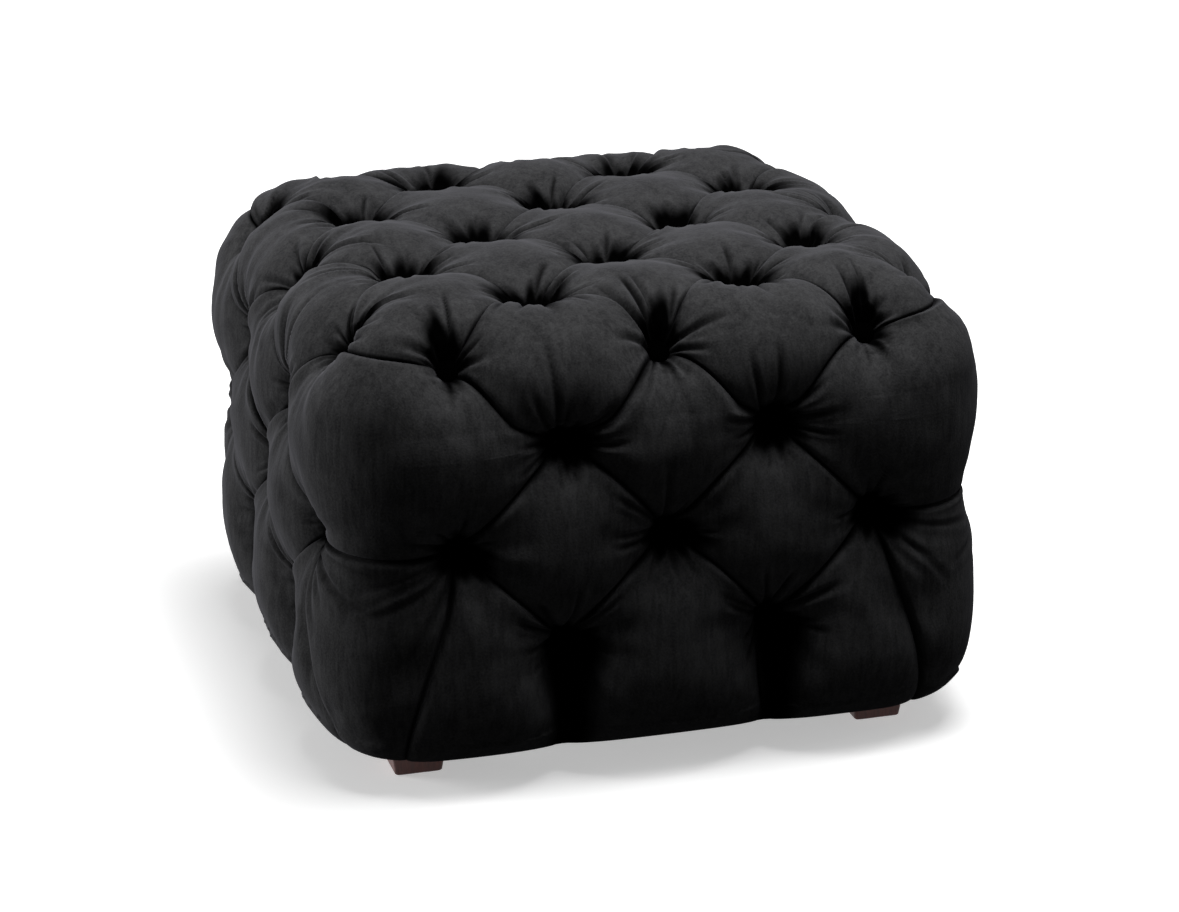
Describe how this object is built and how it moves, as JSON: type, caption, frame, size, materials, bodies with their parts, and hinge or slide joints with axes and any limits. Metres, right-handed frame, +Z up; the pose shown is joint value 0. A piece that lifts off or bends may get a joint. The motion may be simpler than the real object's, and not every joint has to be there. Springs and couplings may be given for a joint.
{
  "type": "pouf",
  "caption": "Square upholstered pouf with deep diamond tufting on its top and all sides, on short tapered wooden feet.",
  "frame": {"origin": "on the floor under the middle of the pouf", "axes": "+Z up, -Y towards the front of the picture's view, +X to its right"},
  "size_m": [0.5626, 0.5626, 0.39],
  "materials": {
    "velvet": "matte",
    "velvet_button": "matte",
    "foam": "matte",
    "plywood": "matte",
    "pine": "matte",
    "stained_wood": "satin",
    "zinc_steel": "satin",
    "staple_steel": "satin",
    "dust_cloth": "matte",
    "twine": "matte"
  },
  "bodies": {
    "root": {"tufted_cover": "velvet", "top_foam": "foam", "front_foam": "foam", "rear_foam": "foam", "left_foam": "foam", "right_foam": "foam", "deck_board": "plywood", "base_board": "plywood", "front_board": "plywood", "rear_board": "plywood", "left_board": "plywood", "right_board": "plywood", "deck_screws": "zinc_steel", "base_screws": "zinc_steel", "corner_screws": "zinc_steel", "foot_bolts": "zinc_steel", "tee_nuts": "zinc_steel", "dust_cover": "dust_cloth", "dust_cover_staples": "staple_steel", "hem_staples": "staple_steel", "corner_block_front_left": "pine", "foot_front_left": "stained_wood", "corner_block_front_right": "pine", "foot_front_right": "stained_wood", "corner_block_rear_right": "pine", "foot_rear_right": "stained_wood", "corner_block_rear_left": "pine", "foot_rear_left": "stained_wood", "top_buttons": "velvet_button", "top_twines": "twine", "edge_buttons": "velvet_button", "edge_twines": "twine", "front_buttons": "velvet_button", "front_twines": "twine", "rear_buttons": "velvet_button", "rear_twines": "twine", "left_buttons": "velvet_button", "left_twines": "twine", "right_buttons": "velvet_button", "right_twines": "twine"}
  },
  "joints": []
}
